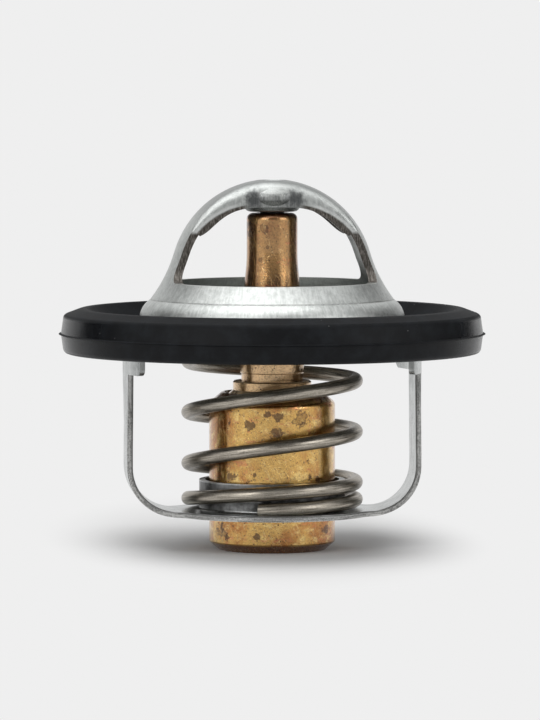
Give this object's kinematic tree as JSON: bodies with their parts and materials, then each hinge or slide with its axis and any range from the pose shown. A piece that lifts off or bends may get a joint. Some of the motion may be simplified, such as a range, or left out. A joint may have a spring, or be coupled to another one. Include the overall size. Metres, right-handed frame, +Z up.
{
  "type": "engine thermostat",
  "caption": "Wax engine thermostat: domed windowed frame on a rubber-edged flange, strap frame below, coil spring and a brass wax element whose piston lifts the valve.",
  "frame": {"origin": "Middle of the flat base of the wax case, on the axis of the guide and the flange, at the height of the surface that the object stands on.", "axes": "+Z runs up the axis from the wax case to the top of the dome. X runs through the two legs of the lower frame and along the bridge of the dome. Y looks through the dome's windows."},
  "size_m": [0.0608, 0.0608, 0.0527],
  "materials": {
    "plated_sheet": "zinc-plated pressed sheet, fine grain and draw lines",
    "plated_strap": "zinc-plated strip, bright faces and striated cut edges",
    "gasket_rubber": "moulded black rubber, satin",
    "spring_wire": "dark drawn spring wire, soft sheen",
    "disc_steel": "plain pressed steel",
    "seal_rubber": "moulded black rubber, matt",
    "ring_steel": "plain spring steel",
    "case_brass": "drawn brass with tarnish and stains",
    "guide_bronze": "turned copper alloy, darker and redder than the case",
    "piston_steel": "ground and polished steel",
    "white_polymer": "smooth white polymer",
    "plunger_rubber": "smooth black rubber",
    "paste": "soft paste",
    "diaphragm_rubber": "smooth black rubber",
    "wax": "wax filled with copper powder"
  },
  "bodies": {
    "element": {"wax_case": "case_brass", "piston_guide": "guide_bronze", "diaphragm": "diaphragm_rubber", "wax_charge": "wax", "transfer_fluid": "paste", "valve_disc": "disc_steel", "valve_seal": "seal_rubber", "retaining_ring": "ring_steel", "return_spring": "spring_wire"},
    "frame": {"upper_frame": "plated_sheet", "lower_frame": "plated_strap", "flange_gasket": "gasket_rubber", "piston": "piston_steel", "backup_disc": "white_polymer", "rubber_plunger": "plunger_rubber"}
  },
  "joints": [
    {"name": "valve_lift", "type": "slide", "parent": "element", "child": "frame", "axis": [0, 0, 1], "range_m": [0, 0.0085], "stiffness_N_per_m": 4100, "springref_m": -0.0005, "deforming": ["return_spring"]}
  ]
}
